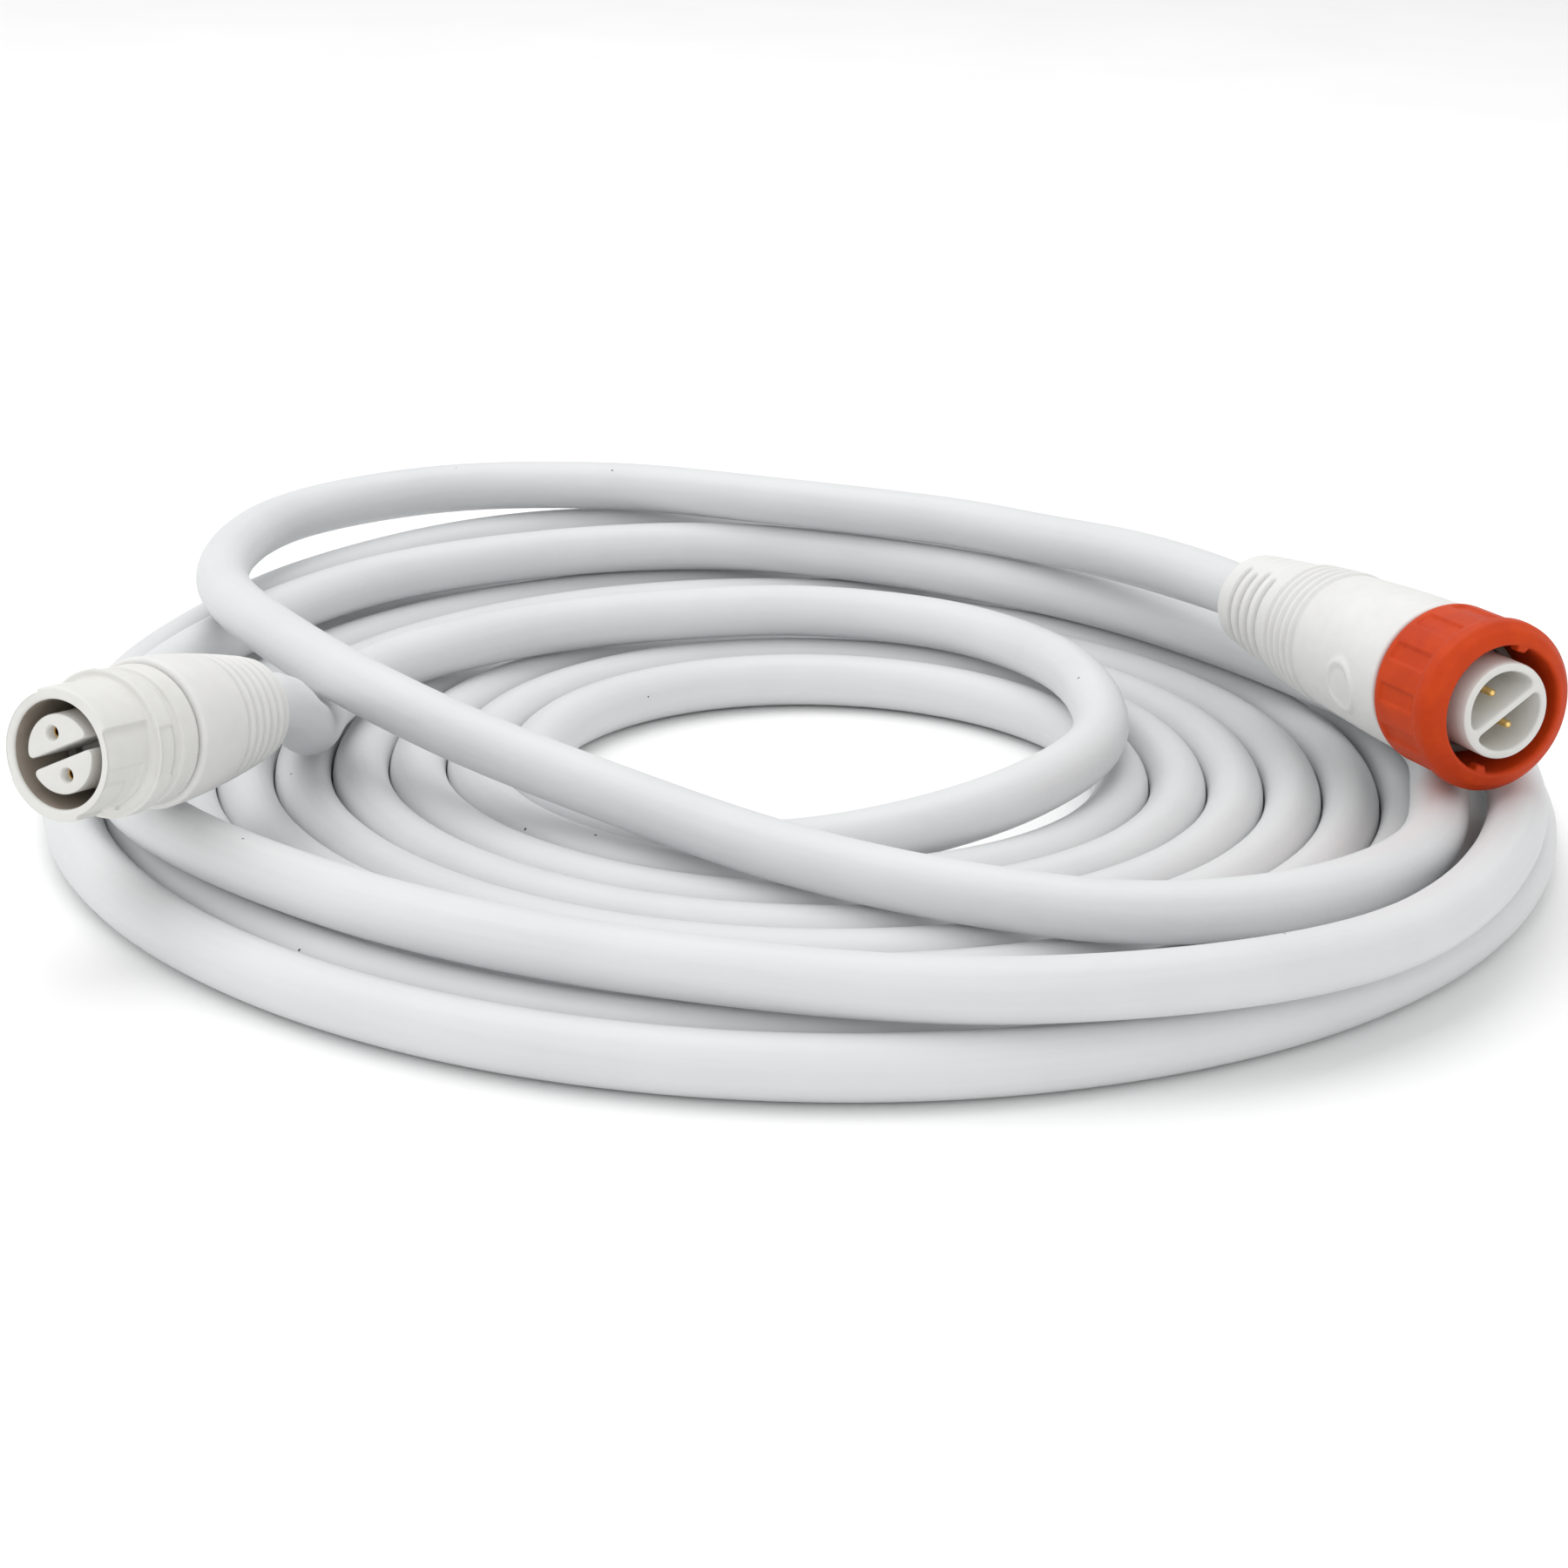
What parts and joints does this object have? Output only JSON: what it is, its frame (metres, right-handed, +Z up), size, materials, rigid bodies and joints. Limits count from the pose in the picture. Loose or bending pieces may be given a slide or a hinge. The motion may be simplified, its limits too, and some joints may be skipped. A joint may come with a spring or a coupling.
{
  "type": "extension cord",
  "caption": "Pale two-core extension cord in a flat spiral coil, with a moulded plug that has an orange bayonet locking ring at one end and a moulded inline socket at the other.",
  "frame": {"origin": "centre of the floor area that the coiled cord set covers, on the floor", "axes": "+Z up; both connectors point towards -Y, the socket at -X and the plug at +X"},
  "size_m": [0.2362, 0.2308, 0.044],
  "materials": {
    "jacket": "satin, cool light grey",
    "moulding": "matt, warm off-white",
    "hard_white": "satin, warm off-white",
    "ring_orange": "satin, orange red",
    "contact_gold": "polished, gold plated",
    "bare_copper": "bare stranded copper, for which brass stands in",
    "core_brown": "satin brown insulation",
    "core_blue": "satin blue insulation",
    "seal_grey": "matt grey"
  },
  "bodies": {
    "cord_set": {"cord_coil": "jacket", "cord_plug_run": "jacket", "cord_socket_run": "jacket", "plug_conductor_1": "bare_copper", "plug_conductor_2": "bare_copper", "plug_contact_carrier": "hard_white", "plug_core_1": "core_brown", "plug_core_2": "core_blue", "plug_inner_mould": "hard_white", "plug_jacket_end": "jacket", "plug_nose_seal": "seal_grey", "plug_overmould": "moulding", "plug_pin_1": "contact_gold", "plug_pin_2": "contact_gold", "socket_conductor_1": "bare_copper", "socket_conductor_2": "bare_copper", "socket_contact_1": "contact_gold", "socket_contact_2": "contact_gold", "socket_contact_carrier": "hard_white", "socket_core_1": "core_brown", "socket_core_2": "core_blue", "socket_face_gasket": "seal_grey", "socket_inner_mould": "hard_white", "socket_jacket_end": "jacket", "socket_overmould": "moulding", "socket_shell": "hard_white"},
    "ring": {"locking_ring": "ring_orange"}
  },
  "joints": [
    {"name": "ring_turn", "type": "hinge", "parent": "cord_set", "child": "ring", "pos_m": [0.09534, -0.02907, 0.03072], "axis": [0.4049, -0.9136, 0.0369], "range_deg": [0, 60]}
  ]
}
